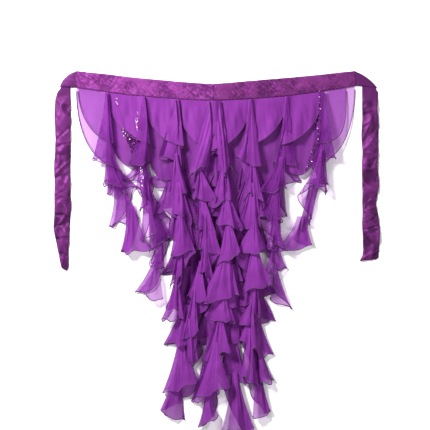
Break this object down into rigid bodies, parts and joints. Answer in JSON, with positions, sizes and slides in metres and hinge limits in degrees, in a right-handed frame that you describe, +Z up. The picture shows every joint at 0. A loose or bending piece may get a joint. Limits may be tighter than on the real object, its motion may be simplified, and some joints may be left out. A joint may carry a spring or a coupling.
{
  "type": "belly dance hip scarf",
  "caption": "Shallow V satin waistband with a hanging tie at each end and spiral-cut chiffon ruffles in two rows, longest in the middle, laid flat.",
  "frame": {"origin": "middle of the laid garment's outline, on the surface it lies on", "axes": "+Z up out of the surface, +Y from the ruffles' lowest hem towards the waistband, X along the waistband"},
  "size_m": [0.7444, 0.8186, 0.0294],
  "materials": {
    "satin_left": "purple satin, light nap side",
    "satin_right": "purple satin, dark nap side",
    "satin_tie_left": "creased purple satin",
    "satin_tie_right": "creased purple satin",
    "chiffon_ruffle_1_front": "sheer purple chiffon with a rolled hem",
    "chiffon_ruffle_1_back": "sheer purple chiffon with a rolled hem",
    "chiffon_ruffle_2_front": "sheer purple chiffon with a rolled hem",
    "chiffon_ruffle_2_back": "sheer purple chiffon with a rolled hem",
    "chiffon_ruffle_3_front": "sheer purple chiffon with a rolled hem",
    "chiffon_ruffle_3_back": "sheer purple chiffon with a rolled hem",
    "chiffon_ruffle_4_front": "sheer purple chiffon with a rolled hem",
    "chiffon_ruffle_4_back": "sheer purple chiffon with a rolled hem",
    "chiffon_ruffle_5_front": "sheer purple chiffon with a rolled hem",
    "chiffon_ruffle_5_back": "sheer purple chiffon with a rolled hem",
    "chiffon_ruffle_6_front": "sheer purple chiffon with a rolled hem",
    "chiffon_ruffle_6_back": "sheer purple chiffon with a rolled hem",
    "chiffon_ruffle_7_front": "sheer purple chiffon with a rolled hem",
    "chiffon_ruffle_7_back": "sheer purple chiffon with a rolled hem",
    "chiffon_ruffle_8_front": "sheer purple chiffon with a rolled hem",
    "chiffon_ruffle_8_back": "sheer purple chiffon with a rolled hem"
  },
  "bodies": {
    "root": {"waistband_left": "satin_left", "waistband_right": "satin_right", "tie_left": "satin_tie_left", "tie_right": "satin_tie_right", "ruffle_1_front": "chiffon_ruffle_1_front", "ruffle_1_back": "chiffon_ruffle_1_back", "ruffle_2_front": "chiffon_ruffle_2_front", "ruffle_2_back": "chiffon_ruffle_2_back", "ruffle_3_front": "chiffon_ruffle_3_front", "ruffle_3_back": "chiffon_ruffle_3_back", "ruffle_4_front": "chiffon_ruffle_4_front", "ruffle_4_back": "chiffon_ruffle_4_back", "ruffle_5_front": "chiffon_ruffle_5_front", "ruffle_5_back": "chiffon_ruffle_5_back", "ruffle_6_front": "chiffon_ruffle_6_front", "ruffle_6_back": "chiffon_ruffle_6_back", "ruffle_7_front": "chiffon_ruffle_7_front", "ruffle_7_back": "chiffon_ruffle_7_back", "ruffle_8_front": "chiffon_ruffle_8_front", "ruffle_8_back": "chiffon_ruffle_8_back"}
  },
  "joints": []
}
